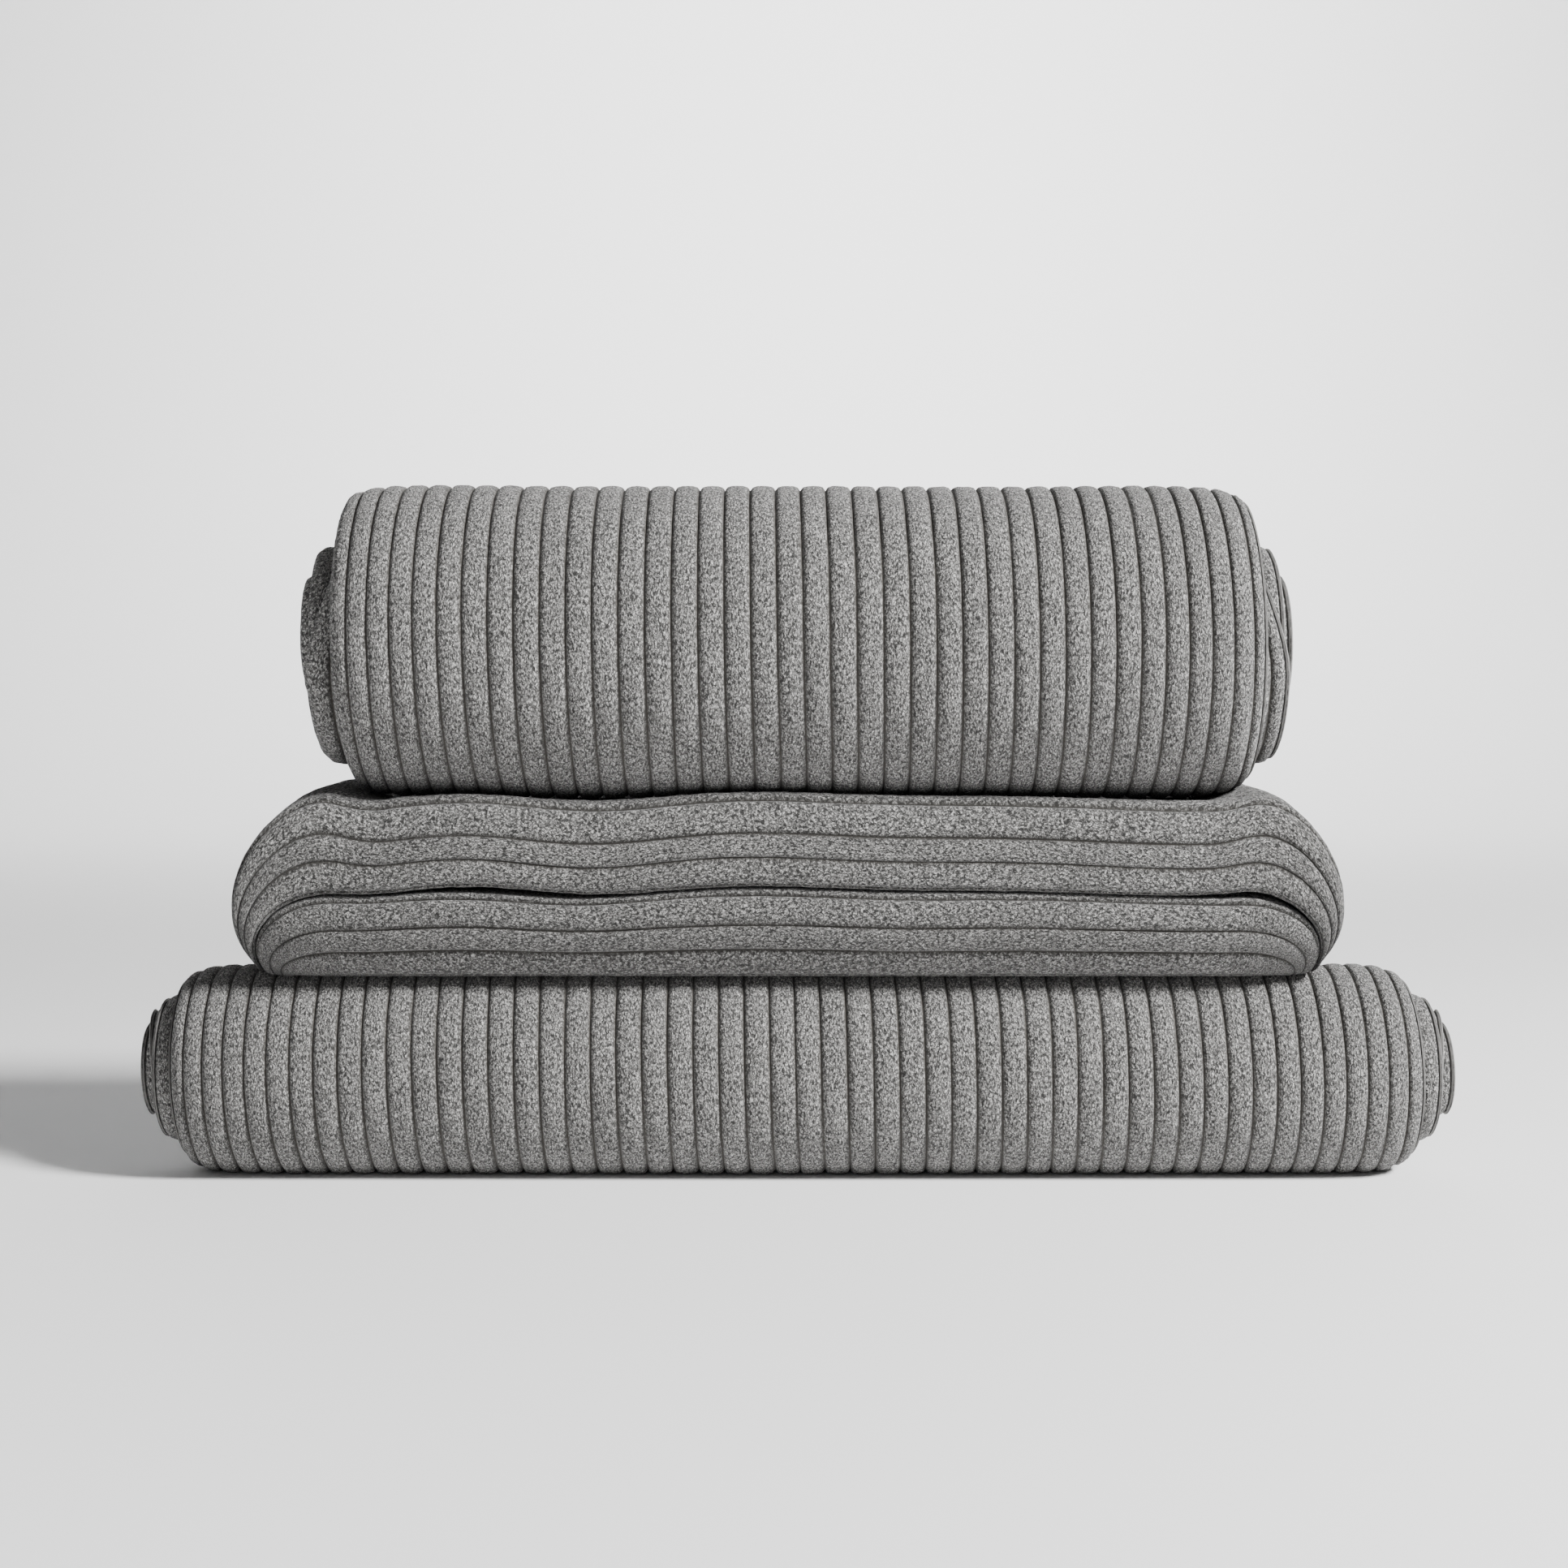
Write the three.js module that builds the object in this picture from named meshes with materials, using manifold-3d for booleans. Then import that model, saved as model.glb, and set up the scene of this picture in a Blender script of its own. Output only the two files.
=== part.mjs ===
// Bath towel set: a rolled bath towel, a folded bath towel resting on it, and a rolled
// bath sheet on top. Every towel is one long cloth with two side hems and two end hems.
//
// Millimetres, +Z up, +X along the rolls, the folded towel's two round folds face -Y.
// The origin is the middle of the underside of the bottom roll.

import * as THREE from 'three';
import { mergeVertices } from 'three/addons/utils/BufferGeometryUtils.js';
import Module from 'manifold-3d';

const wasm = await Module();
wasm.setup();

// ---- Driving dimensions ---------------------------------------------------------------

const PLY = 7.5;                  // one layer of ribbed terry, loops and all
const HEM_PLY = 5.2;              // a hem is flat woven, so thinner than the pile
const CLEARANCE = 0.3;            // kept between surfaces that rest on each other
const SIDE_HEM = 10;              // width of the hem down each long side
const END_HEM = 20;               // width of the hem across each short end

const TOWEL_WIDTH = 700;          // the two bath towels, laid flat
const TOWEL_LENGTH = 1400;
const SHEET_WIDTH = 1000;         // the bath sheet, laid flat
const SHEET_LENGTH = 1500;

const CORE_GAP = 5;               // open eye left at the middle of a roll, as a radius
const FREE_END = radians(60);     // a roll's loose end, measured from straight down to the back
const STEP = radians(10);         // how finely a roll is stepped round
const SEAT = radians(22);         // half angle a roll is pressed flat over where it rests
const SADDLE = radians(22);       // the same on top of the bottom roll, under the folded towel

const FOLDED_LENGTH = 580;        // the folded towel, end to end
const FOLD_GAP = 1;               // air between the passes of the folded towel
const FOLD_TUCK = 8;              // how far the two loose sides reach into the back fold
const FOLD_STEPS = 8;             // straight steps round half a turn of fold

const GREY = { color: 0x9b9a97, roughness: 0.95, metalness: 0 };
const HEM_GREY = { color: 0x8d8c89, roughness: 0.9, metalness: 0 };

// ---- Sizes worked out from them -------------------------------------------------------

const DOUBLE = 2 * PLY + CLEARANCE;             // the bath sheet, folded once along its length
const TREBLE = 3 * PLY + 2 * CLEARANCE;         // the folded towel, its ends turned in
const SHEET_FOLDED = SHEET_WIDTH / 2 + PLY;     // how long the top roll is
const PASS = TREBLE + FOLD_GAP;                 // height taken up by one pass of the fold
const FOLDED_HEIGHT = 4 * TREBLE + 3 * FOLD_GAP;
const FLAP = (TOWEL_LENGTH - FOLDED_LENGTH) / 2;

function radians(degrees) {
  return degrees * Math.PI / 180;
}

// ---- A cloth's course, seen from the end ----------------------------------------------
// A course gives the point (y, z) at a distance along the cloth and a depth under its
// outer face. Bands cut from one course follow each other exactly.

// A roll wound about the X axis. The distance along it is the winding angle: 0 is straight
// down on the outermost turn, less is further in, and past 0 the cloth runs up the back.
function rollCourse({ layers, clothLength, saddle }) {
  const pitch = layers + CLEARANCE;
  const coreRadius = CORE_GAP + layers;
  const outerRadius = Math.sqrt(clothLength * pitch / Math.PI + coreRadius * coreRadius);
  const start = -2 * Math.PI * (outerRadius - coreRadius) / pitch;
  const highest = outerRadius - pitch / 2;

  // Where a turn is pressed flat its layers are squeezed together by the same share.
  function at(angle, depth) {
    const turnsBelow = Math.round(-angle / (2 * Math.PI));
    const turnsAbove = Math.round((-angle - Math.PI) / (2 * Math.PI));
    const down = Math.cos(angle);
    let radius = outerRadius + pitch * angle / (2 * Math.PI) - depth;
    if (down > 0) {
      const pressed = (outerRadius - turnsBelow * pitch - depth) * Math.cos(SEAT);
      radius = Math.min(radius, pressed / down);
    }
    if (down < 0 && saddle) {
      const pressed = (highest - turnsAbove * pitch - depth) * Math.cos(SADDLE);
      radius = Math.min(radius, pressed / -down);
    }
    return new THREE.Vector2(radius * Math.sin(angle), -radius * down);
  }

  return {
    at,
    start,
    end: FREE_END,
    stops: evenStops(start, FREE_END, STEP),
    hemSpan: (angle) => END_HEM / (outerRadius + pitch * angle / (2 * Math.PI) - layers / 2),
    gapSpan: (angle) => CLEARANCE / (outerRadius + pitch * angle / (2 * Math.PI) - layers / 2),
    below: outerRadius * Math.cos(SEAT),
    above: highest * Math.cos(SADDLE),
  };
}

// Multiples of a step between two values, so that flats begin and end on a stop.
function evenStops(from, to, step) {
  const stops = [];
  for (let n = Math.ceil(from / step); n * step <= to; n += 1) {
    stops.push(n * step);
  }
  return stops;
}

// The folded towel. Both sides are folded in to the middle, then the whole is folded in half
// at the back: two round folds in front, one above the other, and the loose sides within.
function foldedCourse() {
  const front = Math.PI * PASS / 2;
  const back = Math.PI * PASS * 1.5;
  const run = (TOWEL_WIDTH - 2 * front - back - 2 * FOLD_TUCK) / 4;
  const depth = run + PASS / 2 + PASS * 1.5 + TREBLE;
  const frontTurn = -depth / 2 + PASS / 2 + TREBLE / 2;
  const backTurn = frontTurn + run;

  // Each piece of the course: how long it is, and where its middle line goes with the
  // outward direction there.
  const pieces = [
    straight(run + FOLD_TUCK, backTurn + FOLD_TUCK, -1, PASS / 2, -1),
    turn(front, frontTurn, PASS, PASS / 2, -90, -180),
    straight(run, frontTurn, 1, PASS * 1.5, 1),
    turn(back, backTurn, 0, PASS * 1.5, 90, -180),
    straight(run, backTurn, -1, -PASS * 1.5, -1),
    turn(front, frontTurn, -PASS, PASS / 2, -90, -180),
    straight(run + FOLD_TUCK, frontTurn, 1, -PASS / 2, 1),
  ];

  function at(along, under) {
    let left = along;
    let piece;
    for (piece of pieces) {
      if (left <= piece.length) break;
      left -= piece.length;
    }
    const { point, outward } = piece.place(Math.min(left / piece.length, 1));
    return point.addScaledVector(outward, TREBLE / 2 - under);
  }

  const stops = [];
  let reached = 0;
  for (const piece of pieces) {
    for (let n = 1; n <= piece.steps; n += 1) {
      stops.push(reached + piece.length * n / piece.steps);
    }
    reached += piece.length;
  }
  return {
    at,
    start: 0,
    end: TOWEL_WIDTH,
    stops,
    hemSpan: () => SIDE_HEM,
    gapSpan: () => CLEARANCE,
  };
}

// A level run of the fold at one height, going to the front (-1) or to the back (+1).
function straight(length, from, heading, height, up) {
  return {
    length,
    steps: 1,
    place: (share) => ({
      point: new THREE.Vector2(from + heading * length * share, height),
      outward: new THREE.Vector2(0, up),
    }),
  };
}

// A half turn of the fold about (y, z), from one bearing through a sweep, in degrees.
function turn(length, y, z, radius, bearing, sweep) {
  return {
    length,
    steps: FOLD_STEPS,
    place: (share) => {
      const angle = radians(bearing + sweep * share);
      const outward = new THREE.Vector2(Math.cos(angle), Math.sin(angle));
      return { point: new THREE.Vector2(y, z).addScaledVector(outward, radius), outward };
    },
  };
}

// ---- Bands of cloth -------------------------------------------------------------------

// A solid strip of cloth that follows a course. `run` is its span along the course, `layer`
// its span under the outer face, and `across` its span in X.
function band(course, run, layer, across) {
  const stops = [run[0], ...course.stops.filter((s) => s > run[0] + 1e-3 && s < run[1] - 1e-3), run[1]];
  const outer = stops.map((s) => course.at(s, layer[0]));
  const inner = stops.map((s) => course.at(s, layer[1])).reverse();
  const outline = new THREE.Shape([...outer, ...inner]);
  const solid = new THREE.ExtrudeGeometry(outline, {
    depth: across[1] - across[0],
    bevelEnabled: false,
  });
  const alongX = new THREE.Matrix4().makeBasis(
    new THREE.Vector3(0, 1, 0),
    new THREE.Vector3(0, 0, 1),
    new THREE.Vector3(1, 0, 0),
  );
  return solid.applyMatrix4(alongX).translate(across[0], 0, 0);
}

// Several bands joined into one cloth.
function joined(bands) {
  const [first, ...others] = bands.map(toManifold);
  return toGeometry(others.reduce((whole, next) => whole.add(next), first));
}

function toManifold(geometry) {
  geometry.deleteAttribute('normal');
  geometry.deleteAttribute('uv');
  const merged = mergeVertices(geometry, 1e-4);
  return new wasm.Manifold(new wasm.Mesh({
    numProp: 3,
    vertProperties: new Float32Array(merged.attributes.position.array),
    triVerts: new Uint32Array(merged.index.array),
  }));
}

function toGeometry(manifold) {
  const { vertProperties, triVerts } = manifold.getMesh();
  const geometry = new THREE.BufferGeometry();
  geometry.setAttribute('position', new THREE.BufferAttribute(vertProperties, 3));
  geometry.setIndex(new THREE.BufferAttribute(triVerts, 1));
  geometry.computeVertexNormals();
  return geometry;
}

function mesh(name, geometry, finish) {
  const made = new THREE.Mesh(geometry, new THREE.MeshStandardMaterial(finish));
  made.name = name;
  return made;
}

// The span of the nth layer of a cloth, and of the thinner hem in the middle of that layer.
function ply(n) {
  const top = n * (PLY + CLEARANCE);
  return [top, top + PLY];
}

function hemPly(n) {
  const inset = (PLY - HEM_PLY) / 2;
  const [top, bottom] = ply(n);
  return [top + inset, bottom - inset];
}

// The three spans along a course: the hem at its start, the cloth, and the hem at its end.
function spans(course) {
  const firstHem = course.start + course.hemSpan(course.start);
  const lastHem = course.end - course.hemSpan(course.end);
  return {
    first: [course.start, firstHem],
    cloth: [firstHem + course.gapSpan(firstHem), lastHem - course.gapSpan(lastHem)],
    last: [lastHem, course.end],
  };
}

// ---- The three towels -----------------------------------------------------------------

// One bath towel, a single layer, wound up from one short end.
function bottomRoll(course) {
  const { first, cloth, last } = spans(course);
  const edge = TOWEL_WIDTH / 2;
  const seam = edge - SIDE_HEM;
  const pile = seam - CLEARANCE;
  const towel = new THREE.Group();
  towel.name = 'bottom_towel';
  towel.add(
    mesh('bottom_roll_cloth', band(course, cloth, ply(0), [-pile, pile]), GREY),
    mesh('bottom_roll_left_hem', band(course, cloth, hemPly(0), [-edge, -seam]), HEM_GREY),
    mesh('bottom_roll_right_hem', band(course, cloth, hemPly(0), [seam, edge]), HEM_GREY),
    mesh('bottom_roll_inner_end_hem', band(course, first, hemPly(0), [-edge, edge]), HEM_GREY),
    mesh('bottom_roll_outer_end_hem', band(course, last, hemPly(0), [-edge, edge]), HEM_GREY),
  );
  return towel;
}

// One bath towel with its ends turned in under it, then folded to a flat bundle.
function foldedTowel(course) {
  const { first, cloth, last } = spans(course);
  const edge = FOLDED_LENGTH / 2;
  const flapEnd = FLAP - edge;
  const flapSeam = flapEnd - END_HEM;
  const flapPile = flapSeam - CLEARANCE;

  // The letter fold: a full layer outside, a flap from the left end under it, and a flap
  // from the right end under that.
  const letterFold = (run, reach, layerOf) => joined([
    band(course, run, layerOf(0), [-edge, edge]),
    band(course, run, layerOf(1), [-edge, reach]),
    band(course, run, layerOf(2), [-reach, edge]),
    band(course, run, [layerOf(0)[0], layerOf(1)[1]], [-edge, -edge + PLY]),
    band(course, run, [layerOf(0)[0], layerOf(2)[1]], [edge - PLY, edge]),
  ]);

  const towel = new THREE.Group();
  towel.name = 'middle_towel';
  towel.add(
    mesh('folded_cloth', letterFold(cloth, flapPile, ply), GREY),
    mesh('folded_upper_side_hem', letterFold(first, flapEnd, hemPly), HEM_GREY),
    mesh('folded_lower_side_hem', letterFold(last, flapEnd, hemPly), HEM_GREY),
    mesh('folded_left_flap_end_hem', band(course, cloth, hemPly(1), [flapSeam, flapEnd]), HEM_GREY),
    mesh('folded_right_flap_end_hem', band(course, cloth, hemPly(2), [-flapEnd, -flapSeam]), HEM_GREY),
  );
  return towel;
}

// The bath sheet, folded once along its length, then wound up from one short end. The fold
// is at the left end of the roll and the two long sides meet at the right end.
function topRoll(course) {
  const { first, cloth, last } = spans(course);
  const edge = SHEET_FOLDED / 2;
  const seam = edge - SIDE_HEM;
  const pile = seam - CLEARANCE;

  const foldedOnce = (run, reach, layerOf) => joined([
    band(course, run, layerOf(0), [-edge, reach]),
    band(course, run, layerOf(1), [-edge, reach]),
    band(course, run, [layerOf(0)[0], layerOf(1)[1]], [-edge, -edge + PLY]),
  ]);

  const towel = new THREE.Group();
  towel.name = 'top_towel';
  towel.add(
    mesh('top_roll_cloth', foldedOnce(cloth, pile, ply), GREY),
    mesh('top_roll_outer_side_hem', band(course, cloth, hemPly(0), [seam, edge]), HEM_GREY),
    mesh('top_roll_inner_side_hem', band(course, cloth, hemPly(1), [seam, edge]), HEM_GREY),
    mesh('top_roll_inner_end_hem', foldedOnce(first, edge, hemPly), HEM_GREY),
    mesh('top_roll_outer_end_hem', foldedOnce(last, edge, hemPly), HEM_GREY),
  );
  return towel;
}

// ---- The stack ------------------------------------------------------------------------

const bottomCourse = rollCourse({ layers: PLY, clothLength: TOWEL_LENGTH, saddle: true });
const topCourse = rollCourse({ layers: DOUBLE, clothLength: SHEET_LENGTH, saddle: false });

const bottom = bottomRoll(bottomCourse);
bottom.position.z = bottomCourse.below;

const middle = foldedTowel(foldedCourse());
const middleUnderside = bottomCourse.below + bottomCourse.above + CLEARANCE;
middle.position.z = middleUnderside + FOLDED_HEIGHT / 2;

const top = topRoll(topCourse);
top.position.z = middleUnderside + FOLDED_HEIGHT + CLEARANCE + topCourse.below;

const towelSet = new THREE.Group();
towelSet.name = 'bath_towel_set';
towelSet.add(bottom, middle, top);

export default towelSet;
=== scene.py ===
"""Bath towel set: a rolled bath towel, a folded bath towel across it, and a rolled bath sheet
on top, all in one grey ribbed terry. Metres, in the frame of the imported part."""

import math

import bmesh
import bpy
import numpy as np
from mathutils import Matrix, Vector


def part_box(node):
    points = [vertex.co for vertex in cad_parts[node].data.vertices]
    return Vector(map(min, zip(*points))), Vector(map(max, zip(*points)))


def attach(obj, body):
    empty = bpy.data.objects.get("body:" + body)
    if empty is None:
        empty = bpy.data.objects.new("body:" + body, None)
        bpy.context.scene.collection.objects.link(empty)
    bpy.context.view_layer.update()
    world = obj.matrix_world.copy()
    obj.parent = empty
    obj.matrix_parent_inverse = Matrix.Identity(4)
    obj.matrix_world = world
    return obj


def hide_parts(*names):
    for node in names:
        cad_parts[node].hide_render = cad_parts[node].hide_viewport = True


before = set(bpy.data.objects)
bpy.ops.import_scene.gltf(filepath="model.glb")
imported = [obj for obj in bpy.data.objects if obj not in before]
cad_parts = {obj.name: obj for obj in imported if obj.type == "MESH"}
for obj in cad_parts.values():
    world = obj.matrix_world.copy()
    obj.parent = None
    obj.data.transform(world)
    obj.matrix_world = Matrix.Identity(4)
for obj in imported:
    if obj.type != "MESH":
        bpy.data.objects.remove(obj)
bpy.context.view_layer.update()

MM = 0.001

# ---- The cloth ---------------------------------------------------------------------------

PLY = 7.5 * MM                # one layer of terry, loops and all
CLEARANCE = 0.3 * MM          # between layers that touch
RIB = 13.46 * MM              # from one groove to the next
GROOVE = 2.7 * MM             # how deep a groove is cut
CROWN = 0.55 * MM             # how much a rib rises towards its middle
HEM = 2.4 * MM                # the thickness of a hem down a roll's side
END_HEM_PLY = 4.4 * MM        # the thickness of every other hem
END_HEM_WIDTH = 20 * MM
SIDE_HEM_WIDTH = 10 * MM      # on the folded towel
FLAP_REACH = 20 * MM          # the folded towel's flaps end this far from its middle
SETTLED = 0.63                # a roll's loose end is pressed to this share of its thickness
TOWEL = (0.70, 1.40)          # flat width and length of the two bath towels
SHEET = (1.00, 1.50)          # flat width and length of the bath sheet

FREE_END = math.radians(60)   # a roll's loose end, from straight down round to the back
SEAT = math.radians(22)       # half angle pressed flat where a roll rests
SOFT_SEAT = math.radians(13)  # the same where the roll sinks into the towel under it
SUNK = 4.4 * MM               # and how far it sinks

WANDER = 0.35 * MM            # how far a groove strays from a straight line
UNEVEN = 0.25                 # how much the ribs' crowns differ
PILE = 0.3 * MM               # half of how far the loops of the pile differ in height
DEEPEST = 1.1                 # a groove's greatest depth, as a share of half the thickness
INNER_PILE = 0.7              # the inner face is smooth and looks a little darker
BLUNT = 0.985                 # keeps a little thickness at a cloth's edges

# Where a fine mesh has its lines across one rib, as shares of the rib, groove at 0.
RIB_LINES = (0, 0.05, 0.12, 0.28, 0.5, 0.72, 0.88, 0.95)


def low_high(node):
    """A CAD node's lowest and highest corners, as arrays."""
    low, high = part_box(node)
    return np.array(low), np.array(high)


# ---- Smooth noise ------------------------------------------------------------------------


NOISE_CELLS = 64              # cells to a side before the noise repeats
NOISE_SHIFT = 1000.0          # keeps the cell numbers above zero


def soft_noise(u, v, size_u, size_v, seed):
    """Smooth noise from -1 to 1, its lumps about size_u by size_v across."""
    table = np.random.default_rng(seed).uniform(-1, 1, (NOISE_CELLS, NOISE_CELLS))
    a = np.asarray(u) / size_u + NOISE_SHIFT
    b = np.asarray(v) / size_v + NOISE_SHIFT
    a, b = np.broadcast_arrays(a, b)
    i, j = np.floor(a).astype(int), np.floor(b).astype(int)
    f, g = a - i, b - j
    f, g = f * f * (3 - 2 * f), g * g * (3 - 2 * g)
    i0, i1, j0, j1 = i % NOISE_CELLS, (i + 1) % NOISE_CELLS, j % NOISE_CELLS, (j + 1) % NOISE_CELLS
    near = table[i0, j0] * (1 - f) + table[i1, j0] * f
    far = table[i0, j1] * (1 - f) + table[i1, j1] * f
    return near * (1 - g) + far * g


def bump(x, centre, width):
    """A smooth hump, 1 at its centre."""
    return np.exp(-(((x - centre) / width) ** 2))


def ease(value, low, high):
    """0 below low, 1 above high, and smooth between."""
    share = np.clip((value - low) / (high - low), 0, 1)
    return share * share * (3 - 2 * share)


# ---- Meshes of cloth ---------------------------------------------------------------------


def rib_loss(across, along, seed):
    """How far the pile lies under the top of the ribs, given the place on the flat cloth."""
    across = across + WANDER * soft_noise(across, along, 40 * MM, 60 * MM, seed)
    share = np.abs(2 * np.mod(across / RIB, 1.0) - 1)
    uneven = 1 + UNEVEN * soft_noise(across, along, RIB, 45 * MM, seed + 1)
    pile = PILE * (1 + soft_noise(across, along, 2.6 * MM, 3.4 * MM, seed + 2))
    return GROOVE * share**7 + CROWN * uneven * share**2 + pile * (1 - share**8)


class Strip:
    """The columns of a strip of cloth: its middle line in (x, depth), which way its outer face
    looks, where each column lies on the flat cloth, and which columns a coarse row keeps."""

    def __init__(self, x, depth, face, flat, keep_outer, keep_inner):
        self.x, self.depth, self.flat = np.array(x), np.array(depth), np.array(flat)
        self.face = np.array(face)
        self.keep_outer, self.keep_inner = np.array(keep_outer), np.array(keep_inner)

    def half(self, thickness):
        """Half the thickness at each column, rounded off at the strip's two edges."""
        round_off = thickness / 2
        from_edge = np.minimum(self.flat - self.flat.min(), self.flat.max() - self.flat)
        inside = np.clip(round_off - from_edge, 0, round_off * BLUNT)
        return np.sqrt(round_off**2 - inside**2)

    def off_middle(self, columns, rise):
        """Where some columns' points lie when they stand off the middle line by a rise."""
        x = self.x[columns] + self.face[columns, 0] * rise
        return x, self.depth[columns] + self.face[columns, 1] * rise


def cloth_points(rows, fine, strip, place, thickness, loss):
    """The points of every row, outer face and then inner face, with their places on the flat
    cloth, how much pile stands at each, and for each row where it starts and what it has."""
    half = strip.half(thickness)
    columns = np.arange(len(strip.x))
    coarse_outer, inner = columns[strip.keep_outer], columns[strip.keep_inner][::-1]
    across = strip.flat.max() - strip.flat.min()
    points, uvs, piles, loops = [], [], [], []
    start = 0
    for row, is_fine in zip(rows, fine):
        outer = columns if is_fine else coarse_outer
        lost = loss(row[0], row[1], strip.flat[outer])
        lost = np.minimum(lost, half[outer] * DEEPEST)
        up = half[outer] - lost
        top = place(row[0], *strip.off_middle(outer, up))
        under = place(row[0], *strip.off_middle(inner, -half[inner]))
        points.append(np.concatenate([top, under]))
        out_there = strip.flat[outer] - strip.flat.min()
        and_back = 2 * across - (strip.flat[inner] - strip.flat.min())
        flat_u = np.concatenate([out_there, and_back])
        uvs.append(np.stack([flat_u, np.full_like(flat_u, row[1])], 1))
        piles.append(np.concatenate([1 - lost / (GROOVE + CROWN), np.full(len(inner), INNER_PILE)]))
        loops.append((start, outer, len(outer), len(inner)))
        start += len(outer) + len(inner)
    return np.concatenate(points), np.concatenate(uvs), np.concatenate(piles), loops


def faces_between(one, other):
    """The faces that join two rows, the last of them closing the loop at the strip's edge. Where
    one row has fewer columns, its faces take in all the other's columns between two of its own."""
    a0, a_outer, a_n, a_m = one
    b0, b_outer, b_n, b_m = other
    a_total, b_total = a_n + a_m, b_n + b_m
    faces = []
    if a_n == b_n:
        for k in range(a_total - 1):
            faces.append((a0 + k, a0 + k + 1, b0 + k + 1, b0 + k))
    else:
        few, many = (a_outer, b_outer) if a_n < b_n else (b_outer, a_outer)
        where = np.searchsorted(many, few)
        for k in range(len(few) - 1):
            run = range(where[k], where[k + 1] + 1)
            if a_n < b_n:
                faces.append((a0 + k, a0 + k + 1, *[b0 + r for r in reversed(run)]))
            else:
                faces.append((*[a0 + r for r in run], b0 + k + 1, b0 + k))
        for k in range(a_m):
            faces.append((a0 + a_n - 1 + k, a0 + a_n + k, b0 + b_n + k, b0 + b_n - 1 + k))
    faces.append((a0 + a_total - 1, a0, b0, b0 + b_total - 1))
    return faces


def end_faces(loop, inner, flip):
    """The faces that close the strip at its first or last row."""
    start, outer, n, m = loop
    pairs = np.searchsorted(outer, inner)
    faces = []
    for k in range(m - 1):
        run = [start + r for r in range(pairs[k], pairs[k + 1] + 1)]
        cap = (*run, start + n + m - 2 - k, start + n + m - 1 - k)
        faces.append(cap[::-1] if flip else cap)
    return faces


def lay_flat(mesh, uvs, wraps, size, swap):
    """Add the UV map: the mesh laid out as flat cloth, its outer face and then its inner one."""
    corner_points = np.empty(len(mesh.loops), dtype=np.int32)
    mesh.loops.foreach_get("vertex_index", corner_points)
    corner_uv = uvs[corner_points] / size
    for index in wraps:
        for corner in mesh.polygons[index].loop_indices:
            if corner_uv[corner, 0] < 0.25:
                corner_uv[corner, 0] = 1.0
    if swap:
        corner_uv = corner_uv[:, ::-1]
    layer = mesh.uv_layers.new(name="OFBake")
    layer.data.foreach_set("uv", corner_uv.astype(np.float32).ravel())


def face_outwards(mesh):
    """Turn every face of a closed mesh to look outwards."""
    whole = bmesh.new()
    whole.from_mesh(mesh)
    bmesh.ops.recalc_face_normals(whole, faces=whole.faces)
    if whole.calc_volume(signed=True) < 0:
        bmesh.ops.reverse_faces(whole, faces=whole.faces)
    whole.to_mesh(mesh)
    whole.free()


def cloth_mesh(name, rows, fine, strip, place, thickness, loss, swap=False):
    """A closed strip of cloth. place(row, x, depth) gives points, loss(row, along, flat) the
    pile's depth under the outer face. Fine rows have every column, the others the kept ones."""
    rows = np.array(rows)
    points, uvs, piles, loops = cloth_points(rows, fine, strip, place, thickness, loss)
    faces, wraps = [], []
    for one, other in zip(loops, loops[1:]):
        faces += faces_between(one, other)
        wraps.append(len(faces) - 1)
    inner = np.arange(len(strip.x))[strip.keep_inner]
    faces += end_faces(loops[0], inner, True)
    faces += end_faces(loops[-1], inner, False)

    mesh = bpy.data.meshes.new(name)
    mesh.from_pydata(points.tolist(), [], faces)
    across = strip.flat.max() - strip.flat.min()
    size = np.array([2 * across, rows[:, 1].max() - rows[:, 1].min()])
    uvs[:, 1] -= rows[:, 1].min()
    lay_flat(mesh, uvs, wraps, size, swap)
    # The material reads this to paint the grooves and the ribs' edges darker: partly the weave's own
    # colour, partly painted shade.
    attribute = mesh.attributes.new("pile", "FLOAT", "POINT")
    attribute.data.foreach_set("value", piles.astype(np.float32))
    face_outwards(mesh)
    mesh.shade_smooth()
    piece = bpy.data.objects.new(name, mesh)
    bpy.context.scene.collection.objects.link(piece)
    return piece, size[::-1] if swap else size


def no_loss(_row, _along, flat):
    """Flat woven cloth has no ribs."""
    return np.zeros(len(flat))


def hem_mesh(node, rows, strip, place, thickness, swap=False):
    """A woven hem that stands for a CAD node."""
    coarse = [False] * len(rows)
    name = node + "_woven"
    hem, size = cloth_mesh(name, rows, coarse, strip, place, thickness, no_loss, swap)
    hem.data.materials.append(woven(size))
    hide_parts(node)
    return hem


def terry_mesh(node, rows, fine, strip, place, loss, seed, tone=1.0, swap=False):
    """A terry cloth that stands for a CAD node."""
    name = node + "_terry"
    cloth, size = cloth_mesh(name, rows, fine, strip, place, PLY, loss, swap)
    cloth.data.materials.append(terry(size, seed, tone))
    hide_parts(node)
    return cloth


# ---- Rolls -------------------------------------------------------------------------------


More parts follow.
